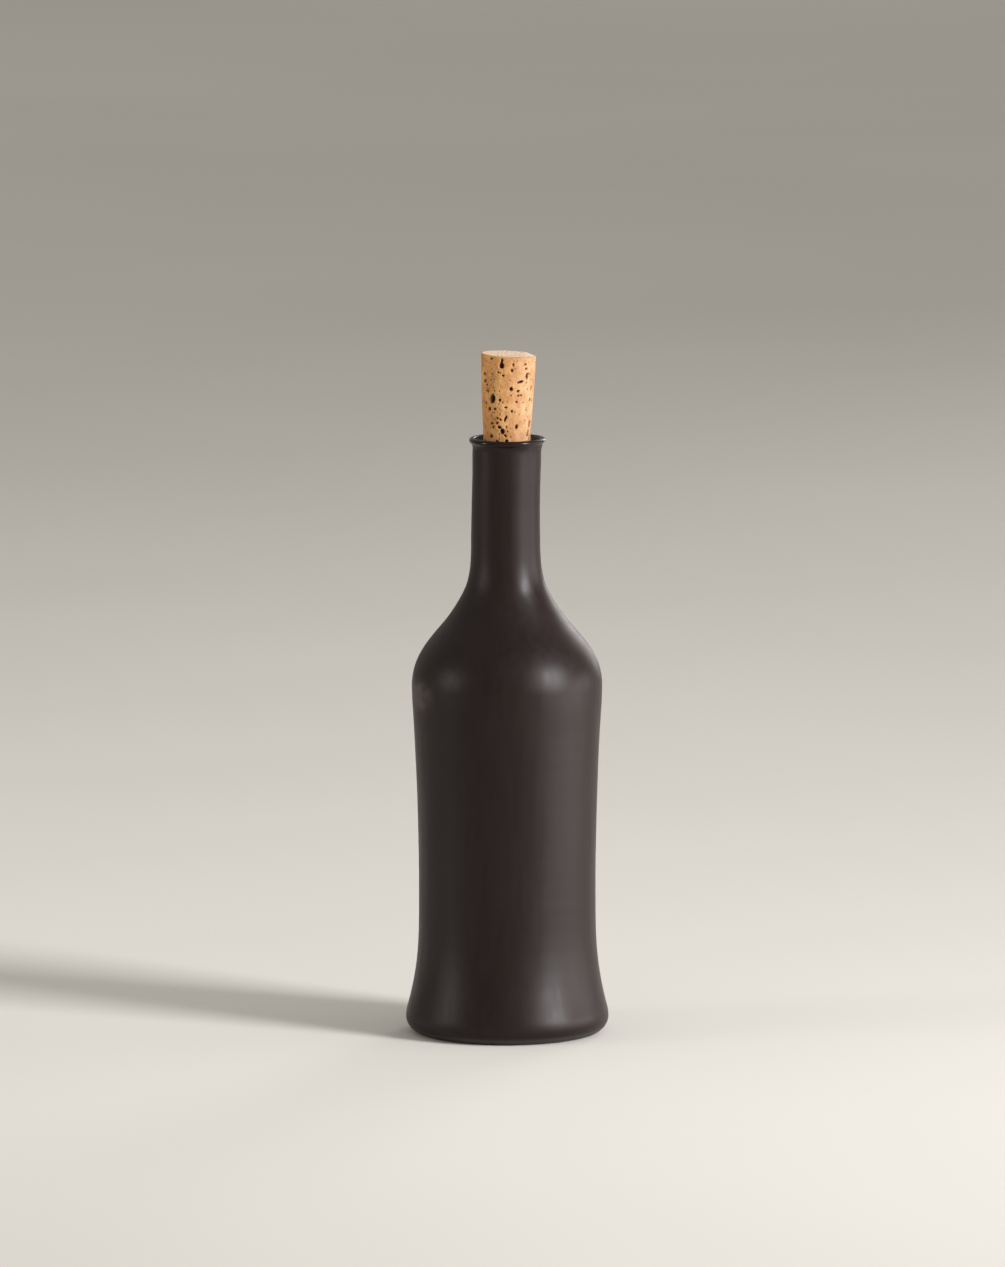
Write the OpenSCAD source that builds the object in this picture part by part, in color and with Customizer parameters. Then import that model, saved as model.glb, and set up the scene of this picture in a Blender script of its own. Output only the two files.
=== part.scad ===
// Black clay bottle closed by a tapered cork.
// Millimetres, +Z up. The origin is the centre of the foot, on the surface the bottle stands on.

/* [Body] */
// Diameter of the foot, the widest place
foot_d = 81; // [78:0.5:86]
// Radius of the rounded edge under the foot
foot_round = 6.4; // [6:0.1:8]
// Diameter of the waist, the narrowest place of the body
waist_d = 70.3; // [66:0.1:73]
// Height of the waist
waist_z = 56; // [48:1:70]
// Diameter of the shoulder
shoulder_d = 76; // [74:0.1:82]
// Height of the shoulder, where the body begins to close
shoulder_z = 140; // [130:1:144]

/* [Neck and lip] */
// Height of the bottle, to the top of its lip
bottle_h = 239; // [225:1:260]
// Diameter of the neck
neck_d = 27.4; // [26.6:0.1:29]
// Height at which the neck becomes straight
neck_z = 200; // [196:1:206]
// Diameter of the flared lip
lip_d = 30.6; // [29.6:0.1:32]
// Radius of the lip's rounded edge
lip_round = 1.15; // [0.9:0.05:1.3]
// Height of the flare under the lip's rounded edge
flare_h = 3.6; // [3:0.1:4.6]

/* [Inside] */
// Thickness of the body's wall and floor
wall = 4.8; // [4:0.1:5.6]
// Depth of the hollow under the foot
recess = 1.2; // [0.6:0.1:2]
// Diameter of the straight bore in the neck
bore_d = 18.8; // [18:0.1:19.8]
// Depth of the funnel from the top of the lip down to the bore
funnel_h = 5.5; // [5:0.1:8]

/* [Cork] */
// Diameter of the cork's top
cork_top_d = 22; // [20.5:0.1:24]
// Height of the cork above the lip
cork_out = 34; // [26:1:38]
// Depth of the cork below the top of the lip
cork_in = 15; // [12:1:20]
// Gap between the cork and the bore where it seats
seat_gap = 0.05; // [0.02:0.01:0.1]
// Bevel around the cork's two ends
cork_bevel = 0.6; // [0.3:0.1:1]

/* [Hidden] */

$fn = 96;
SPAN_STEPS = 8;     // bands along one span of a curved wall
ARC_STEP = 15;      // degrees that one band of a rounded edge turns
LIP_UNDER = 50;     // lean of the flare where it meets the lip's rounded edge
LIP_INSIDE = 40;    // lean of the funnel where it meets the lip's rounded edge

foot_r = foot_d / 2;
waist_r = waist_d / 2;
shoulder_r = shoulder_d / 2;
neck_r = neck_d / 2;
bore_r = bore_d / 2;
bore_top = bottle_h - funnel_h;
neck_wall = neck_r - bore_r;
foot_turn = [foot_r - foot_round, foot_round];              // centre of the foot's rounded edge
lip_turn = [lip_d / 2 - lip_round, bottle_h - lip_round];   // centre of the lip's rounded edge
ring_w = 6;                 // width of the flat ring that the bottle stands on
hollow_rise = 3 * recess;   // width of the slope from that ring up into the hollow

// The body's wall, from the foot up. A station is [radius, height, lean, thickness]. The lean is
// the wall's angle from upright, in degrees, positive where the wall opens on the way up.
shell = [
    [foot_r, foot_round, 0, wall],
    [foot_r - 0.5, foot_round + 3.6, -16, wall],
    [foot_r - 2.8, foot_round + 12.8, -12, wall],
    [waist_r, waist_z, 0, wall],
    [shoulder_r - 0.9, shoulder_z - 18, 3, wall],
    [shoulder_r, shoulder_z, 0, wall],
    [shoulder_r - 3.3, shoulder_z + 12.5, -29, wall],
    [shoulder_r - 11.5, shoulder_z + 23.4, -41, wall],
    [neck_r + 3.5, shoulder_z + 37.2, -27, neck_wall],
    [neck_r + 0.2, neck_z, -1, neck_wall]
];

function place(station) = [station[0], station[1]];
function heading(station) = [sin(station[2]), cos(station[2])];

// The station opposite this one, on the inside of the wall
function inward(station) =
    [station[0] - station[3] * cos(station[2]), station[1] + station[3] * sin(station[2]), station[2]];

// The station at angle a around the lip's rounded edge
function on_lip(a, lean) = [lip_turn[0] + lip_round * cos(a), lip_turn[1] + lip_round * sin(a), lean];

// One point of the cubic curve from p0 to p3 that p1 and p2 lead
function cubic(p0, p1, p2, p3, t) =
    pow(1 - t, 3) * p0 + 3 * t * pow(1 - t, 2) * p1 + 3 * t * t * (1 - t) * p2 + pow(t, 3) * p3;

// A smooth wall from station a up to station b, without the point at a
function span(a, b) =
    let (reach = norm(place(b) - place(a)) / 3,
         straight = a[0] == b[0] && a[2] == b[2],
         steps = straight ? 1 : SPAN_STEPS)
    [for (i = [1 : steps])
        cubic(place(a), place(a) + reach * heading(a), place(b) - reach * heading(b), place(b), i / steps)];

// A smooth wall through all the stations, without the point at the first
function climb(stations) = [for (k = [1 : len(stations) - 1]) each span(stations[k - 1], stations[k])];

// An arc, counter-clockwise from angle a0 to angle a1
function arc(centre, r, a0, a1) =
    let (bands = ceil((a1 - a0) / ARC_STEP))
    [for (i = [0 : bands]) let (a = a0 + (a1 - a0) * i / bands) centre + r * [cos(a), sin(a)]];

function backward(points) = [for (i = [len(points) - 1 : -1 : 0]) points[i]];

// The hollow under the foot, from the axis out to the ring that the bottle stands on
function under_line() =
    let (hollow_r = foot_turn[0] - ring_w)
    [[0, recess], [hollow_r - hollow_rise, recess], [hollow_r, 0]];

// The outside, from the foot's ring up and over the lip, short of where the funnel meets it
function outside_line() =
    let (neck = [neck_r, lip_turn[1] - flare_h, 0])
    concat(
        arc(foot_turn, foot_round, -90, 0),
        climb(concat(shell, [neck, on_lip(-LIP_UNDER, LIP_UNDER)])),
        arc(lip_turn, lip_round, ARC_STEP - LIP_UNDER, 180 - LIP_INSIDE - ARC_STEP)
    );

// The inside, from the middle of the floor up through the bore and the funnel to the lip
function inside_line() =
    let (bore = [[bore_r, neck_z + 4, 0], [bore_r, bore_top, 0]])
    concat(
        [[0, wall]],
        arc(foot_turn, foot_round - wall, -90, 0),
        climb([for (station = shell) inward(station), each bore, on_lip(180 - LIP_INSIDE, LIP_INSIDE)])
    );

// One clay wall: foot, waisted body, shoulder, neck and flared lip
module bottle() {
    color([0.15, 0.13, 0.13])
        rotate_extrude() polygon(concat(under_line(), outside_line(), backward(inside_line())));
}

// One tapered natural cork, seated at the top of the straight bore
module cork_stopper() {
    top_z = bottle_h + cork_out;
    tip_z = bottle_h - cork_in;
    top_r = cork_top_d / 2;
    seat_r = bore_r - seat_gap;
    taper = (top_r - seat_r) / (top_z - bore_top);
    tip_r = seat_r - taper * (bore_top - tip_z);
    color([0.80, 0.60, 0.38])
        rotate_extrude()
            polygon([
                [0, tip_z],
                [tip_r - cork_bevel, tip_z],
                [tip_r, tip_z + cork_bevel],
                [top_r, top_z - cork_bevel],
                [top_r - cork_bevel, top_z],
                [0, top_z]
            ]);
}

bottle();
cork_stopper();
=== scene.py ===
# Looks of the black clay bottle and its cork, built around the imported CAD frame.
# Metres, +Z up, as in the frame. The camera looks along +Y, so +X is to its right.
import math

import bpy
import numpy as np
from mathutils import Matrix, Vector, noise


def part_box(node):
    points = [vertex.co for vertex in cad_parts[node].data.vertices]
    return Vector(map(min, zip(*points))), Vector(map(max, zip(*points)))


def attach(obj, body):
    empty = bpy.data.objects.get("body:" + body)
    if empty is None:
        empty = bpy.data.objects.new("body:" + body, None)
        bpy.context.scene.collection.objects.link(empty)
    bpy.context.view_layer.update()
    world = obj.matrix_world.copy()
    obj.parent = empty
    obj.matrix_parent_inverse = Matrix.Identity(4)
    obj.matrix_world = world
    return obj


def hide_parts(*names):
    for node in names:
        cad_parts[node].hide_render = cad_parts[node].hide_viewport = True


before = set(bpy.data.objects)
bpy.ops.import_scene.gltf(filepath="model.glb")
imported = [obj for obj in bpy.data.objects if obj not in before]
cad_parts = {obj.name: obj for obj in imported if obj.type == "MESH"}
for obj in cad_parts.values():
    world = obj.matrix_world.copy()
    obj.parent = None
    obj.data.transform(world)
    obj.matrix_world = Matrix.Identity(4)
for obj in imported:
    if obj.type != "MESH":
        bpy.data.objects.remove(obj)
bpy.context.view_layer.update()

MM = 0.001

# ---------------------------------------------------------------- sizes
# The overall sizes come from the frame, and the others are the CAD source's driving dimensions.
bottle_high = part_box("bottle")[1]
cork_low, cork_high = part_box("cork_stopper")

FOOT_R = bottle_high.x
BOTTLE_H = bottle_high.z
FOOT_ROUND = 6.4 * MM
WAIST_R = 35.15 * MM
WAIST_Z = 56 * MM
SHOULDER_R = 38 * MM
SHOULDER_Z = 140 * MM
NECK_R = 13.7 * MM
NECK_Z = 200 * MM
LIP_R = 15.3 * MM
LIP_ROUND = 1.15 * MM
LIP_UNDER = 50       # lean of the flare where it meets the lip's rounded edge, in degrees
LIP_INSIDE = 40      # lean of the funnel where it meets the lip's rounded edge
FLARE_H = 3.6 * MM
WALL = 4.8 * MM
RECESS = 1.2 * MM
HOLLOW_RISE = 3 * RECESS
RING_W = 6 * MM
BORE_R = 9.4 * MM
BORE_START = NECK_Z + 4 * MM
FUNNEL_H = 5.5 * MM
BORE_TOP = BOTTLE_H - FUNNEL_H

CORK_TOP = cork_high.z
CORK_TIP = cork_low.z
CORK_TOP_R = cork_high.x
SEAT_R = BORE_R - 0.05 * MM
CORK_TAPER = (CORK_TOP_R - SEAT_R) / (CORK_TOP - BORE_TOP)


# ---------------------------------------------------------------- small maths
def smooth(t):
    """0 below 0, 1 above 1, and an S between."""
    t = np.clip(t, 0.0, 1.0)
    return t * t * (3 - 2 * t)


def hump(x, centre, half_width):
    """1 at the centre, 0 from half_width away, smooth between."""
    return smooth(1 - np.abs(x - centre) / half_width)


def gap_from(angle, middle):
    """Each angle less the middle one, between half a turn back and half a turn on."""
    return (angle - middle + math.pi) % (2 * math.pi) - math.pi


def fractal(points, scale, octaves=3, shift=0.0):
    """Layered noise of about -1 to 1 at each point. scale is the size of its largest features."""
    offset = Vector((shift, 1.7 * shift, 0.3 * shift))
    return np.array([
        noise.fractal(Vector(p) / scale + offset, 1.0, 2.0, octaves) for p in points
    ])


# ---------------------------------------------------------------- meshes
def link_mesh(name, verts, faces, attributes):
    """A smooth-shaded mesh object with its float attributes."""
    mesh = bpy.data.meshes.new(name)
    mesh.from_pydata([tuple(v) for v in verts], [], faces)
    mesh.validate()
    for key, values in attributes.items():
        layer = mesh.attributes.new(key, "FLOAT", "POINT")
        layer.data.foreach_set("value", np.asarray(values, np.float32))
    mesh.polygons.foreach_set("use_smooth", [True] * len(mesh.polygons))
    obj = bpy.data.objects.new(name, mesh)
    bpy.context.scene.collection.objects.link(obj)
    return obj


def lathe_faces(rings, columns):
    """Quads between rings of points, and a fan at each end around one more point: first, then last."""
    faces = []
    for i in range(rings - 1):
        low, high = i * columns, (i + 1) * columns
        for j in range(columns):
            k = (j + 1) % columns
            faces.append((low + j, low + k, high + k, high + j))
    first, last = rings * columns, rings * columns + 1
    top_ring = (rings - 1) * columns
    for j in range(columns):
        k = (j + 1) % columns
        faces.append((first, k, j))
        faces.append((last, top_ring + j, top_ring + k))
    return faces


def lathe_grid(outline, columns):
    """The radius, height and angle of every point, ring by ring along the outline."""
    radius = np.repeat(outline[:, 0], columns)
    height = np.repeat(outline[:, 1], columns)
    angle = np.tile(np.arange(columns) * 2 * math.pi / columns, len(outline))
    return radius, height, angle


# ---------------------------------------------------------------- the bottle's outline
# A station is (radius, height, lean in degrees, wall thickness), as in the CAD source.
NECK_WALL = NECK_R - BORE_R
SHELL = [
    (FOOT_R, FOOT_ROUND, 0, WALL),
    (FOOT_R - 0.5 * MM, FOOT_ROUND + 3.6 * MM, -16, WALL),
    (FOOT_R - 2.8 * MM, FOOT_ROUND + 12.8 * MM, -12, WALL),
    (WAIST_R, WAIST_Z, 0, WALL),
    (SHOULDER_R - 0.9 * MM, SHOULDER_Z - 18 * MM, 3, WALL),
    (SHOULDER_R, SHOULDER_Z, 0, WALL),
    (SHOULDER_R - 3.3 * MM, SHOULDER_Z + 12.5 * MM, -29, WALL),
    (SHOULDER_R - 11.5 * MM, SHOULDER_Z + 23.4 * MM, -41, WALL),
    (NECK_R + 3.5 * MM, SHOULDER_Z + 37.2 * MM, -27, NECK_WALL),
    (NECK_R + 0.2 * MM, NECK_Z, -1, NECK_WALL),
]
FOOT_TURN = np.array([FOOT_R - FOOT_ROUND, FOOT_ROUND])
LIP_TURN = np.array([LIP_R - LIP_ROUND, BOTTLE_H - LIP_ROUND])

OUTER_BAND = 1.2 * MM      # length of the mesh's bands up the outside
FLARE_BAND = 0.35 * MM     # and on the flare under the lip
FUNNEL_BAND = 0.4 * MM     # and in the funnel
INNER_BAND = 2.6 * MM      # and on the inside
FOOT_POINTS = 16           # points around the foot's rounded edge
LIP_POINTS = 15            # and around the lip's


def heading(lean):
    return np.array([math.sin(math.radians(lean)), math.cos(math.radians(lean))])


def inward(station):
    """The station opposite this one, on the inside of the wall."""
    r, z, lean, thickness = station
    angle = math.radians(lean)
    return (r - thickness * math.cos(angle), z + thickness * math.sin(angle), lean)


def on_lip(angle, lean):
    """The station at this angle around the lip's rounded edge."""
    turn = math.radians(angle)
    point = LIP_TURN + LIP_ROUND * np.array([math.cos(turn), math.sin(turn)])
    return (point[0], point[1], lean)


def span(a, b, step):
    """The wall from station a up to station b, without the point at a."""
    p0, p3 = np.array(a[:2]), np.array(b[:2])
    chord = np.linalg.norm(p3 - p0)
    p1 = p0 + heading(a[2]) * chord / 3
    p2 = p3 - heading(b[2]) * chord / 3
    count = max(2, math.ceil(chord / step))
    points = []
    for i in range(1, count + 1):
        t = i / count
        points.append(
            (1 - t) ** 3 * p0 + 3 * t * (1 - t) ** 2 * p1 + 3 * t * t * (1 - t) * p2 + t ** 3 * p3
        )
    return points


def climb(stations, step):
    """The wall through all the stations, without the point at the first."""
    points = []
    for a, b in zip(stations[:-1], stations[1:]):
        points += span(a, b, step)
    return points


def arc(centre, radius, a0, a1, count):
    angles = np.radians(np.linspace(a0, a1, count))
    return [centre + radius * np.array([math.cos(a), math.sin(a)]) for a in angles]


def under_line():
    """The hollow under the foot and the flat ring around it, from the axis out."""
    ring_in = FOOT_TURN[0] - RING_W
    hollow = ring_in - HOLLOW_RISE
    points = [np.array([hollow * k / 8, RECESS]) for k in range(1, 8)]
    for k in range(9):
        t = k / 8
        points.append(np.array([hollow + HOLLOW_RISE * t, RECESS * (1 - smooth(t))]))
    points += [np.array([ring_in + RING_W * k / 5, 0.0]) for k in range(1, 5)]
    return points


def outside_line():
    """From the foot's rounded edge up the wall and the neck, and over the lip."""
    neck_top = (NECK_R, LIP_TURN[1] - FLARE_H, 0)
    points = arc(FOOT_TURN, FOOT_ROUND, -90, 0, FOOT_POINTS)
    points += climb(SHELL, OUTER_BAND)
    points += climb([SHELL[-1][:3], neck_top], OUTER_BAND)
    points += climb([neck_top, on_lip(-LIP_UNDER, LIP_UNDER)], FLARE_BAND)
    points += arc(LIP_TURN, LIP_ROUND, -LIP_UNDER, 180 - LIP_INSIDE, LIP_POINTS)[1:]
    return points


def inside_line():
    """From the middle of the floor up through the bore and the funnel, short of the lip."""
    bore_low, bore_high = (BORE_R, BORE_START, 0), (BORE_R, BORE_TOP, 0)
    cavity = arc(FOOT_TURN, FOOT_ROUND - WALL, -90, 0, 6)
    cavity += climb([inward(s) for s in SHELL] + [bore_low], INNER_BAND)
    cavity += climb([bore_low, bore_high], INNER_BAND)
    funnel = climb([bore_high, on_lip(180 - LIP_INSIDE, LIP_INSIDE)], FUNNEL_BAND)[:-1]
    floor_in = [np.array([cavity[0][0] * k / 6, WALL]) for k in range(1, 6)]
    return floor_in + cavity + funnel


# ---------------------------------------------------------------- the bottle
BOTTLE_COLUMNS = 192

# How far the hand-made clay strays from a true round, and over what lengths
OVAL = 0.16 * MM
OVAL_TWIST = 14            # radians that the oval turns in a metre of height
THREE_SIDED = 0.08 * MM
THREE_SIDED_TWIST = 22
RIPPLE = 0.010 * MM
RIPPLE_PITCH = 7.3 * MM
FACET = 0.022 * MM
FACET_SIZE = 7 * MM
SWELL = 0.09 * MM
SWELL_SIZE = 34 * MM
BOW = 0.6 * MM             # the neck's bow to the left between the shoulder and the lip
LIP_SHIFT = 0.28 * MM      # the flare opens further to the right
PINCH = 0.45 * MM          # and is pinched in there under its edge

# The patch where the clay was rubbed grey, on the left of the shoulder
PATCH_ANGLE = math.radians(197)
PATCH_REACH = math.radians(26)
PATCH_Z = SHOULDER_Z - 3 * MM
PATCH_RISE = 8 * MM
PATCH_DENT = 0.12 * MM

# The polished places: the lip's edge, and the base of the neck to the right of the front
LIP_POLISH_Z = BOTTLE_H - 1.0 * MM
LIP_POLISH_RISE = 2.2 * MM
THUMB_ANGLE = math.radians(299)
THUMB_REACH = math.radians(50)
THUMB_Z = NECK_Z - 22 * MM
THUMB_RISE = 11 * MM
THUMB_SHARE = 0.38


def stray(around, height, angle):
    """How far the body and the neck lie outside a true round."""
    oval = OVAL * np.cos(2 * angle + OVAL_TWIST * height)
    oval = oval + THREE_SIDED * np.cos(3 * angle - THREE_SIDED_TWIST * height)
    ripples = RIPPLE * np.sin(2 * math.pi * height / RIPPLE_PITCH + 1.5 * np.sin(angle))
    facets = FACET * fractal(around * np.array([1.0, 1.0, 0.22]), FACET_SIZE)
    swell = SWELL * fractal(around, SWELL_SIZE, 2, 4.0)
    above_foot = smooth((height - 6 * MM) / (20 * MM))
    below_lip = 1 - smooth((height - (BOTTLE_H - 17 * MM)) / (10 * MM))
    return (oval + ripples + facets + swell) * (above_foot * below_lip)


def uneven_flare(height, angle):
    """How far the lip's flare lies outside a true round."""
    lip = smooth((height - (BOTTLE_H - 6 * MM)) / (4 * MM))
    to_the_right = smooth((np.cos(angle) - 0.2) / 0.6)
    under_edge = hump(height, BOTTLE_H - 2.1 * MM, 1.5 * MM)
    return LIP_SHIFT * np.cos(angle) * lip - PINCH * to_the_right * under_edge


def neck_bow(height):
    """How far each height leans to the right: less than nothing in the neck, which bows left."""
    start = smooth((height - 150 * MM) / (52 * MM))
    end = 1 - 0.72 * smooth((height - 206 * MM) / (30 * MM))
    return -BOW * start * end


def make_bottle():
    under, outside = under_line(), outside_line()
    outline = np.array(under + outside + inside_line()[::-1])
    rings, columns = len(outline), BOTTLE_COLUMNS
    radius, height, angle = lathe_grid(outline, columns)
    on_outside = np.zeros(rings)
    on_outside[len(under):len(under) + len(outside)] = 1.0
    on_outside = np.repeat(on_outside, columns)
    around = np.stack([radius * np.cos(angle), radius * np.sin(angle), height], axis=1)

    patch = hump(gap_from(angle, PATCH_ANGLE), 0.0, PATCH_REACH)
    patch = patch * hump(height, PATCH_Z, PATCH_RISE) * on_outside
    dents = PATCH_DENT * patch * fractal(around, 3.5 * MM, 3, 6.0)
    form = stray(around, height, angle) + uneven_flare(height, angle)
    radius = radius + form * on_outside + dents
    x, y = radius * np.cos(angle) + neck_bow(height), radius * np.sin(angle)
    ends = np.array([(0.0, 0.0, RECESS), (0.0, 0.0, WALL)])
    verts = np.concatenate([np.stack([x, y, height], axis=1), ends])

    raw = 1 - on_outside * smooth((height - 1.2 * MM) / (2.2 * MM))
    smudge = np.clip(2.0 * patch * (0.75 + 0.9 * fractal(around, 4 * MM, 4, 9.0)), 0, 1)
    thumb = hump(gap_from(angle, THUMB_ANGLE), 0.0, THUMB_REACH)
    thumb = THUMB_SHARE * thumb * hump(height, THUMB_Z, THUMB_RISE)
    rubbed = (hump(height, LIP_POLISH_Z, LIP_POLISH_RISE) + thumb) * on_outside

    def with_ends(values, at_ends):
        return np.concatenate([values, [at_ends, at_ends]])

    return link_mesh(
        "clay_bottle", verts, lathe_faces(rings, columns),
        {"raw": with_ends(raw, 1), "smudge": with_ends(smudge, 0), "rubbed": with_ends(rubbed, 0)},
    )


# ---------------------------------------------------------------- the cork
CORK_COLUMNS = 320
CORK_ROWS = 215
EDGE_ROUND = 0.5 * MM
PIT_COUNT = 260
END_PIT_COUNT = 56
END_PIT_DEPTH = 0.45 * MM
FULLER = 0.10 * MM                    # the cork is a little fuller at half its height
SQUEEZE = 0.22 * MM                   # and squeezed at the lip
TOP_SLOPE = math.radians(2.6)         # its top is cut crooked, sloping down to the right
WORN_CORNER = 0.5 * MM                # and worn lower still at its right edge
CORK_LEAN = math.radians(1.2)         # it leans to the right
CORK_SHIFT = 0.32 * MM                # and sits left of the middle

# The larger pits on the side towards the camera: degrees to the right of the front, height above the
# lip, width, height, lean of the top to the right in degrees, depth. The lengths are millimetres.
LARGE_PITS = [
    (-15, 30.1, 1.9, 2.5, 0, 1.6), (-14, 32.2, 0.9, 1.8, 8, 1.3), (-36, 16.5, 2.3, 3.6, 8, 1.8),
    (-19, 5.1, 1.6, 1.2, 20, 1.2), (-12, 3.5, 1.7, 2.2, -20, 1.6), (-4, 1.7, 0.8, 1.5, -35, 0.9),
    (28, 23.3, 2.5, 1.1, -14, 1.2), (45, 25.4, 1.2, 2.6, 0, 1.2), (49, 26.6, 1.2, 0.7, 0, 0.9),
    (7, 20.6, 1.3, 1.6, 0, 1.3), (23, 19.7, 1.1, 1.0, 0, 1.0), (24, 17.9, 1.0, 0.8, 0, 0.7),
    (31, 17.9, 1.0, 0.7, 0, 0.7), (-18, 16.1, 0.9, 1.1, 0, 1.0), (-45, 12.3, 1.4, 1.4, 0, 1.1),
    (-30, 12.4, 1.3, 1.1, 0, 0.6), (-4, 13.2, 1.4, 0.7, 0, 0.7), (10, 11.5, 0.9, 1.2, 0, 0.7),
    (-4, 8.7, 0.9, 2.7, 20, 1.1), (-16, 8.2, 0.9, 0.8, 0, 0.9), (-24, 8.8, 1.0, 1.0, 0, 0.6),
    (-39, 6.6, 1.3, 0.9, 0, 0.8), (-25, 6.8, 1.2, 0.9, 0, 0.9), (-35, 5.1, 1.1, 1.3, 20, 0.6),
    (-2, 5.3, 0.8, 1.0, 0, 0.5), (23, 5.2, 1.1, 2.0, 0, 1.0), (63, 2.2, 1.6, 3.0, 16, 1.3),
    (-41, 1.3, 1.4, 1.3, 20, 0.9), (-62, 26.1, 1.9, 1.1, 0, 1.0), (-60, 23.4, 1.8, 1.4, 0, 1.1),
    (-52, 21.9, 1.1, 0.8, 0, 0.6), (-50, 19.5, 1.3, 1.2, 0, 0.6), (-57, 14.6, 1.4, 1.0, 0, 0.5),
    (-22, 27.2, 0.9, 0.7, 0, 0.6), (-11, 26.0, 1.0, 1.0, 0, 0.7), (-38, 32.7, 1.4, 0.8, 0, 0.6),
    (10, 30.5, 0.8, 1.6, 0, 0.5), (8, 28.1, 1.0, 1.4, 20, 0.7), (39, 30.6, 1.1, 0.9, 0, 0.9),
    (42, 28.7, 1.2, 1.0, 0, 0.8), (20, 15.3, 1.0, 0.9, 0, 0.6), (60, 15.8, 1.4, 1.2, 0, 0.6),
    (62, 20.3, 1.2, 2.2, 0, 0.35),
]
FRONT_REACH = 68     # degrees to each side of the front that LARGE_PITS covers, above the lip


def scattered_pits(rng):
    """Pinholes everywhere, and larger pits on the sides that LARGE_PITS leaves bare."""
    pits = []
    while len(pits) < PIT_COUNT:
        turned = rng.uniform(-180, 180)
        level = rng.uniform(-14, 33)
        in_front = abs(turned) < FRONT_REACH and level > 0
        small = in_front or rng.random() < 0.6
        size = rng.uniform(0.3, 0.6) if small else rng.uniform(0.7, 2.2)
        tall = size * rng.uniform(0.8, 1.9)
        depth = rng.uniform(0.25, 0.6) if small else 0.4 + 0.6 * size
        pits.append((turned, level, size, tall, rng.uniform(-25, 25), depth))
    return pits


def sink(across, up, width, tall, tilt, ragged):
    """How far inside an uneven oval each point is, from 0 outside its rim to 1 on its floor."""
    u = (across * math.cos(tilt) - up * math.sin(tilt)) / (width * MM / 2)
    v = (across * math.sin(tilt) + up * math.cos(tilt)) / (tall * MM / 2)
    return smooth((1.2 - np.sqrt(u * u + v * v) - 0.3 * ragged) / 0.5)


def cork_outline():
    """From the middle of the lower end, up the side, to the middle of the top: (radius, height)."""
    heights = np.linspace(CORK_TIP + EDGE_ROUND, CORK_TOP - EDGE_ROUND, CORK_ROWS)
    side = [(SEAT_R + CORK_TAPER * (z - BORE_TOP), z) for z in heights]
    quarter = np.radians(np.linspace(15, 90, 6))
    low_edge = [
        (side[0][0] - EDGE_ROUND * (1 - math.cos(a)), CORK_TIP + EDGE_ROUND * (1 - math.sin(a)))
        for a in quarter[::-1]
    ]
    top_edge = [
        (side[-1][0] - EDGE_ROUND * (1 - math.cos(a)), CORK_TOP - EDGE_ROUND * (1 - math.sin(a)))
        for a in quarter
    ]
    low_face = [(low_edge[0][0] * k / 16, CORK_TIP) for k in range(1, 16)]
    top_face = [(top_edge[-1][0] * k / 34, CORK_TOP) for k in range(33, 0, -1)]
    return np.array(low_face + low_edge + side + top_edge + top_face)


def bore_pits(base, height, angle, full, on_side, ragged):
    """The pits in the side and in the two cut ends: (depth, darkness) at every point."""
    rng = np.random.default_rng(11)
    sunk = np.zeros(len(base))
    dark = np.zeros(len(base))
    for turned, level, width, tall, lean, depth in LARGE_PITS + scattered_pits(rng):
        gap = gap_from(angle, math.radians(turned - 90))
        inside = on_side * sink(
            gap * full, height - BOTTLE_H - level * MM, width, tall, math.radians(lean), ragged
        )
        sunk = np.maximum(sunk, inside * depth * MM)
        dark = np.maximum(dark, inside * min(1.0, 0.25 + 0.65 * depth))

    for k in range(END_PIT_COUNT):
        turned, reach = rng.uniform(0, 2 * math.pi), CORK_TOP_R * math.sqrt(rng.uniform(0.02, 0.82))
        width, tall, tilt = rng.uniform(0.4, 1.2), rng.uniform(0.5, 1.7), rng.uniform(-0.5, 0.5)
        on_this_end = (1 - on_side) * ((height > BOTTLE_H) == (k % 2 == 0))
        across, up = base[:, 0] - reach * math.cos(turned), base[:, 1] - reach * math.sin(turned)
        inside = on_this_end * sink(across, up, width, tall, tilt, ragged)
        sunk = np.maximum(sunk, inside * END_PIT_DEPTH)
        dark = np.maximum(dark, inside * 0.7)
    return sunk, dark


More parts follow.
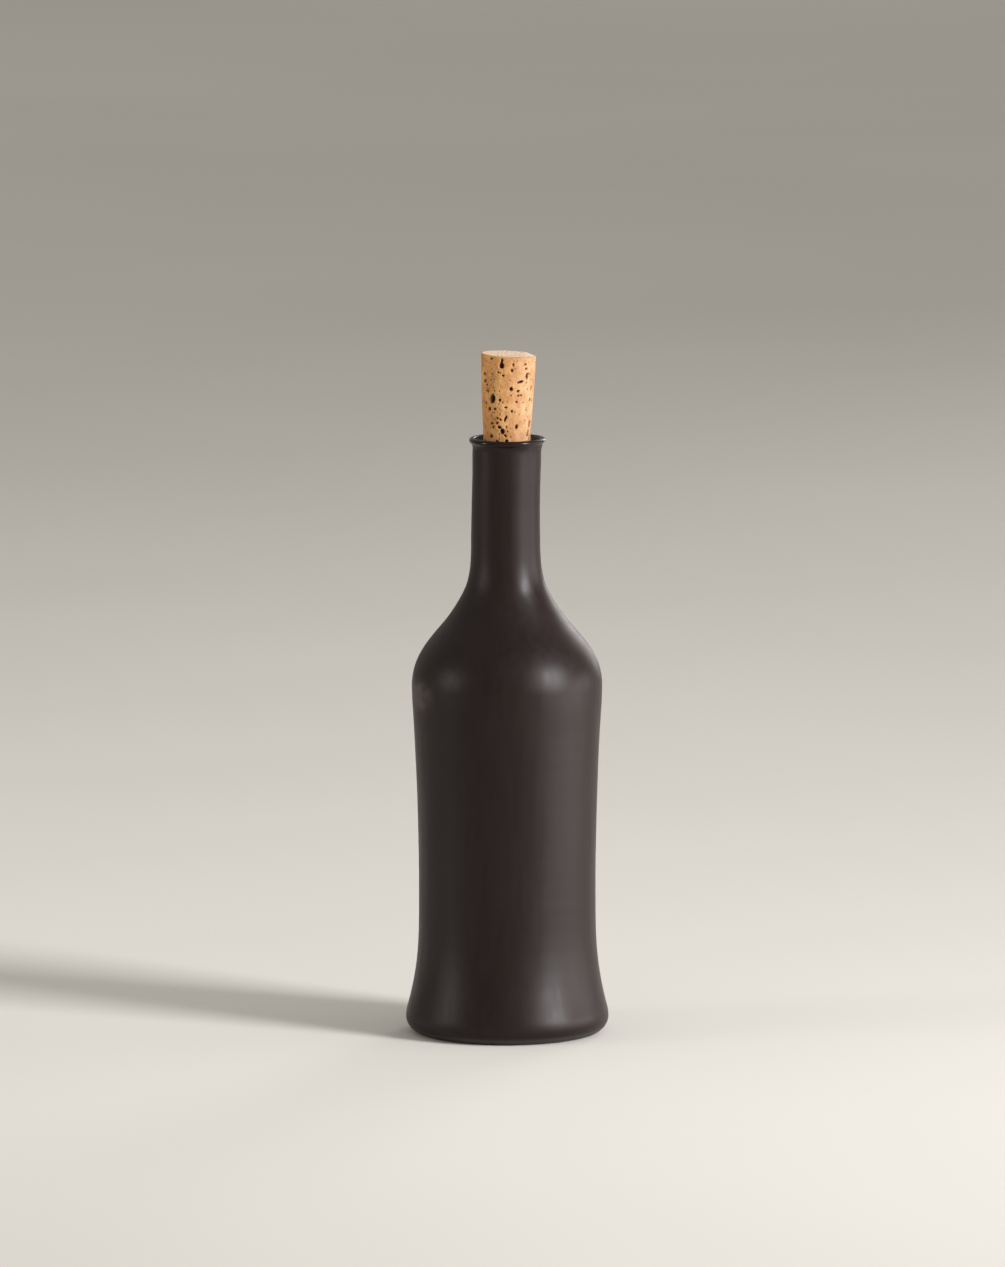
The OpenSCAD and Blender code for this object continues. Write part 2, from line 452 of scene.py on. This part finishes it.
def make_cork():
    outline = cork_outline()
    rings, columns = len(outline), CORK_COLUMNS
    radius, height, angle = lathe_grid(outline, columns)
    full = SEAT_R + CORK_TAPER * (height - BORE_TOP)
    on_side = smooth((radius / full - 0.93) / 0.05)
    on_end = 1 - on_side
    base = np.stack([radius * np.cos(angle), radius * np.sin(angle), height], axis=1)

    # bark: fine crumble, soft upright grain, and pits with ragged rims
    crumble = fractal(base, 0.9 * MM, 3, 2.0)
    grain = fractal(base * np.array([1.0, 1.0, 0.3]), 3.2 * MM, 3, 5.0)
    ragged = fractal(base, 0.7 * MM, 2, 7.0)
    sunk, dark = bore_pits(base, height, angle, full, on_side, ragged)

    level = height - BOTTLE_H
    form = FULLER * hump(level, 22 * MM, 12 * MM) - SQUEEZE * hump(level, 3 * MM, 8 * MM)
    rough = (0.035 * crumble + 0.03 * grain - 0.045) * MM
    radius = radius + on_side * (form + rough - sunk)
    height = height + np.sign(BOTTLE_H - height) * on_end * (sunk + 0.03 * MM * (1 - crumble))

    x, y = radius * np.cos(angle), radius * np.sin(angle)
    above = np.clip(level / (CORK_TOP - BOTTLE_H), 0, 1)
    slope = math.tan(TOP_SLOPE) * (x + CORK_TOP_R)
    slope = slope + WORN_CORNER * smooth((x / CORK_TOP_R - 0.55) / 0.45)
    height = height - above ** 6 * slope
    lean = -CORK_SHIFT + math.tan(CORK_LEAN) * np.clip(height - BORE_TOP, 0, 1)
    verts = np.stack([x + lean, y, height], axis=1)
    first, last = verts[:columns].mean(axis=0), verts[-columns:].mean(axis=0)
    verts = np.concatenate([verts, [first, last]])

    def with_ends(values):
        return np.concatenate([values, [values[0], values[-1]]])

    return link_mesh(
        "natural_cork", verts, lathe_faces(rings, columns),
        {"pit": with_ends(dark), "cut_face": with_ends(on_end)},
    )


# ---------------------------------------------------------------- materials
class Nodes:
    """A short way to build one material's node tree."""

    def __init__(self, name):
        self.material = bpy.data.materials.new(name)
        self.material.use_nodes = True
        self.tree = self.material.node_tree
        self.shader = self.tree.nodes["Principled BSDF"]
        self.place = self.tree.nodes.new("ShaderNodeTexCoord").outputs["Object"]

    def feed(self, socket, value):
        """Feed a socket from another one, or set it to a number, a vector or a colour."""
        if isinstance(value, bpy.types.NodeSocket):
            self.tree.links.new(value, socket)
        elif socket.type == "RGBA":
            socket.default_value = (*value, 1)
        else:
            socket.default_value = value

    def add(self, kind, **inputs):
        node = self.tree.nodes.new("ShaderNode" + kind)
        for key, value in inputs.items():
            self.feed(node.inputs[key], value)
        return node

    def shade(self, key, value):
        self.feed(self.shader.inputs[key], value)

    def attribute(self, name):
        node = self.tree.nodes.new("ShaderNodeAttribute")
        node.attribute_name = name
        return node.outputs["Fac"]

    def across(self):
        """The place's X, which grows to the right."""
        return self.add("SeparateXYZ", Vector=self.place).outputs["X"]

    def stretched(self, x, y, z):
        return self.add("Mapping", Vector=self.place, Scale=(x, y, z)).outputs["Vector"]

    def noise(self, size, detail=4.0, roughness=0.55, vector=None):
        place = vector or self.place
        node = self.add("TexNoise", Vector=place, Scale=1 / size, Detail=detail, Roughness=roughness)
        return node.outputs["Fac"]

    def ramp(self, value, *stops):
        node = self.tree.nodes.new("ShaderNodeValToRGB")
        self.feed(node.inputs["Fac"], value)
        elements = node.color_ramp.elements
        while len(elements) < len(stops):
            elements.new(0.5)
        for element, (position, colour) in zip(elements, stops):
            element.position = position
            element.color = (*colour, 1)
        return node.outputs["Color"]

    def span(self, value, low, high, to_low, to_high):
        node = self.tree.nodes.new("ShaderNodeMapRange")
        self.feed(node.inputs["Value"], value)
        limits = {"From Min": low, "From Max": high, "To Min": to_low, "To Max": to_high}
        for key, number in limits.items():
            self.feed(node.inputs[key], number)
        return node.outputs["Result"]

    def mix(self, share, first, second):
        node = self.tree.nodes.new("ShaderNodeMix")
        node.data_type = "RGBA"
        for index, value in ((0, share), (6, first), (7, second)):    # Factor, A and B for colours
            self.feed(node.inputs[index], value)
        return node.outputs[2]

    def math(self, operation, first, second):
        node = self.tree.nodes.new("ShaderNodeMath")
        node.operation = operation
        self.feed(node.inputs[0], first)
        self.feed(node.inputs[1], second)
        return node.outputs["Value"]

    def bump(self, height, strength, distance, normal=None):
        node = self.add("Bump", Height=height, Strength=strength, Distance=distance)
        if normal is not None:
            self.feed(node.inputs["Normal"], normal)
        return node.outputs["Normal"]


def black_clay():
    """Fired black clay, burnished with a stone on the outside and left raw inside and underneath."""
    n = Nodes("burnished_black_clay")
    raw, smudge, rubbed = n.attribute("raw"), n.attribute("smudge"), n.attribute("rubbed")
    cloud = n.noise(38 * MM, 3.0)
    strokes = n.noise(2.4 * MM, 3.0, 0.5, n.stretched(1.0, 1.0, 0.10))
    specks = n.noise(0.5 * MM, 3.0, 0.6)

    burnished = n.ramp(cloud, (0.30, (0.0082, 0.0042, 0.0039)), (0.70, (0.0112, 0.0058, 0.0053)))
    burnished = n.mix(n.span(strokes, 0.35, 0.75, 0.0, 0.5), burnished, (0.0138, 0.0076, 0.0070))
    dusty = n.ramp(specks, (0.35, (0.030, 0.026, 0.025)), (0.65, (0.052, 0.047, 0.045)))
    colour = n.mix(smudge, burnished, (0.066, 0.050, 0.048))
    colour = n.mix(raw, colour, dusty)

    streaky = n.span(strokes, 0.30, 0.70, 0.0, 0.07)
    roughness = n.math("ADD", streaky, n.span(cloud, 0.30, 0.70, 0.36, 0.42))
    roughness = n.math("ADD", roughness, n.math("MULTIPLY", smudge, 0.12))
    roughness = n.math("SUBTRACT", roughness, n.math("MULTIPLY", rubbed, 0.24))
    roughness = n.math("MAXIMUM", roughness, n.math("MULTIPLY", raw, 0.82))

    normal = n.bump(strokes, 0.10, 0.15 * MM)
    normal = n.bump(specks, 0.10, 0.06 * MM, normal)
    n.shade("Base Color", colour)
    n.shade("Roughness", roughness)
    n.shade("Normal", normal)
    n.shade("Specular IOR Level", 0.20)
    return n.material


def cork_bark():
    """Natural cork: mottled bark with painted shade on its left and a painted sheen on its right,
    brown to black pits and a paler, dustier cut end.
    """
    n = Nodes("natural_cork")
    pit, cut_face = n.attribute("pit"), n.attribute("cut_face")
    blotch = n.noise(6 * MM, 4.0, 0.6)
    mottle = n.noise(1.7 * MM, 3.0, 0.6)
    fleck = n.noise(0.8 * MM, 4.0, 0.65)
    speck = n.noise(0.45 * MM, 2.0, 0.5)
    cells = n.noise(0.22 * MM, 2.0)
    streak = n.noise(2.2 * MM, 4.0, 0.6, n.stretched(1.0, 1.0, 0.28))

    # Painted shade and painted sheen across the cork, mixed by X from left to right: the bark is a
    # deeper, more saturated orange on its left as painted shade, and greyer and less saturated on its
    # right as a painted sheen where the light falls.
    shade_side_bark = n.ramp(
        blotch,
        (0.34, (0.45, 0.175, 0.034)), (0.50, (0.57, 0.262, 0.058)), (0.62, (0.65, 0.345, 0.10)),
    )
    sheen_side_bark = n.ramp(
        blotch,
        (0.34, (0.29, 0.140, 0.058)), (0.50, (0.375, 0.212, 0.095)), (0.62, (0.45, 0.285, 0.15)),
    )
    bark = n.mix(n.span(n.across(), -7 * MM, 8 * MM, 0.0, 1.0), shade_side_bark, sheen_side_bark)
    bark = n.mix(n.span(streak, 0.50, 0.68, 0.0, 0.60), bark, (0.31, 0.130, 0.036))
    bark = n.mix(n.span(mottle, 0.54, 0.66, 0.0, 0.55), bark, (0.30, 0.120, 0.034))
    bark = n.mix(n.span(fleck, 0.58, 0.72, 0.0, 0.70), bark, (0.26, 0.100, 0.030))
    bark = n.mix(n.span(speck, 0.66, 0.76, 0.0, 0.75), bark, (0.20, 0.070, 0.022))
    bark = n.mix(n.span(cells, 0.35, 0.70, 0.0, 0.25), bark, (0.60, 0.40, 0.22))
    end = n.ramp(
        fleck,
        (0.34, (0.75, 0.60, 0.45)), (0.60, (0.68, 0.50, 0.34)), (0.76, (0.45, 0.25, 0.12)),
    )
    colour = n.mix(cut_face, bark, end)
    burnt = n.ramp(
        pit,
        (0.30, (0.30, 0.120, 0.038)), (0.60, (0.11, 0.036, 0.012)), (0.95, (0.018, 0.006, 0.003)),
    )
    colour = n.mix(n.span(pit, 0.04, 0.32, 0.0, 1.0), colour, burnt)

    normal = n.bump(fleck, 0.35, 0.12 * MM)
    normal = n.bump(cells, 0.25, 0.06 * MM, normal)
    n.shade("Base Color", colour)
    n.shade("Roughness", n.span(fleck, 0.3, 0.7, 0.50, 0.70))
    n.shade("Normal", normal)
    n.shade("Specular IOR Level", 0.35)
    return n.material


def pale_floor():
    n = Nodes("pale_matte_floor")
    tone = n.ramp(n.noise(0.6, 2.0), (0.3, (0.66, 0.655, 0.605)), (0.7, (0.69, 0.685, 0.635)))
    n.shade("Base Color", tone)
    n.shade("Roughness", 0.75)
    n.shade("Specular IOR Level", 0.2)
    return n.material


# ---------------------------------------------------------------- pieces
def add_pieces():
    bottle = make_bottle()
    bottle.data.materials.append(black_clay())
    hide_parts("bottle")
    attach(bottle, "bottle")
    cork = make_cork()
    cork.data.materials.append(cork_bark())
    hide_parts("cork_stopper")
    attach(cork, "cork")


# ---------------------------------------------------------------- studio
LOOK_AT = Vector((-0.0019, 0.0, 0.1603))
CAMERA_DISTANCE = 5.0
CAMERA_HEIGHT = 0.852
CAMERA_LENS = 360        # millimetres, on a sensor of SENSOR_WIDTH
SENSOR_WIDTH = 36
SIGHT = 60               # how far the camera sees
FLOOR_RADIUS = 12.0
HORIZON = (0.323, 0.306, 0.269)    # as light as the far floor, so that the two run together
HORIZON_TOP = 0.05                 # height on a sky of radius 1 up to which it has that tone
OVERHEAD = (0.50, 0.475, 0.455)
OVERHEAD_LOW = 0.75                # height from which it has the overhead tone
GRID_SPREAD = math.radians(75)     # the grid on each softbox, which keeps its light off the far floor


def direction(azimuth, elevation):
    """From the object, azimuth degrees to the right of the camera and elevation above the horizon."""
    a, e = math.radians(azimuth), math.radians(elevation)
    return Vector((math.sin(a) * math.cos(e), -math.cos(a) * math.cos(e), math.sin(e)))


def softbox(name, azimuth, elevation, distance, width, height, radiance, colour):
    """A soft rectangular light aimed at the object, as bright as radiance across its face."""
    light = bpy.data.lights.new(name, "AREA")
    light.shape = "RECTANGLE"
    light.size, light.size_y = width, height
    reach = math.tan(GRID_SPREAD / 2)
    light.spread = GRID_SPREAD
    light.energy = radiance * math.pi * width * height * (reach - GRID_SPREAD / 2) / reach
    light.color = colour
    lamp = bpy.data.objects.new(name, light)
    bpy.context.scene.collection.objects.link(lamp)
    target = Vector((0.0, 0.0, BOTTLE_H / 2))
    lamp.location = target + direction(azimuth, elevation) * distance
    lamp.rotation_euler = (target - lamp.location).to_track_quat("-Z", "Y").to_euler()
    lamp.visible_camera = False


def add_sky():
    """A plain studio sky, which lightens upwards from the far floor's own tone."""
    world = bpy.data.worlds.new("studio")
    world.use_nodes = True
    nodes, links = world.node_tree.nodes, world.node_tree.links
    place = nodes.new("ShaderNodeTexCoord").outputs["Generated"]
    parts = nodes.new("ShaderNodeSeparateXYZ")
    tone = nodes.new("ShaderNodeValToRGB")
    links.new(place, parts.inputs["Vector"])
    links.new(parts.outputs["Z"], tone.inputs["Fac"])
    links.new(tone.outputs["Color"], nodes["Background"].inputs["Color"])
    stops = ((HORIZON_TOP, HORIZON), (OVERHEAD_LOW, OVERHEAD))
    for element, (position, colour) in zip(tone.color_ramp.elements, stops):
        element.position = position
        element.color = (*colour, 1)
    bpy.context.scene.world = world


def add_lights():
    softbox("key_window", 58, 20, 2.7, 0.72, 1.40, 48.0, (1.0, 0.97, 0.99))
    softbox("broad_window", 97, 2.6, 3.0, 2.6, 0.55, 8.5, (1.0, 0.94, 0.91))
    softbox("low_strip", 80, -8.5, 0.45, 0.46, 0.10, 6.5, (1.0, 0.94, 0.91))
    softbox("rim_window", 155, 16, 3.0, 1.0, 1.75, 5.0, (1.0, 0.96, 0.94))
    softbox("left_glow", -75, 11, 3.0, 0.75, 1.08, 10.5, (1.0, 0.91, 0.88))


def add_floor():
    bpy.ops.mesh.primitive_circle_add(vertices=128, radius=FLOOR_RADIUS, fill_type="NGON")
    floor = bpy.context.object
    floor.name = "floor"
    floor.data.materials.append(pale_floor())


def add_camera():
    camera = bpy.data.objects.new("camera", bpy.data.cameras.new("camera"))
    bpy.context.scene.collection.objects.link(camera)
    camera.data.lens = CAMERA_LENS
    camera.data.sensor_width = SENSOR_WIDTH
    camera.data.clip_end = SIGHT
    camera.location = (0.0, -CAMERA_DISTANCE, CAMERA_HEIGHT)
    camera.rotation_euler = (LOOK_AT - camera.location).to_track_quat("-Z", "Y").to_euler()
    bpy.context.scene.camera = camera


add_pieces()
bpy.context.scene.view_settings.view_transform = "Standard"
add_sky()
add_lights()
add_floor()
add_camera()
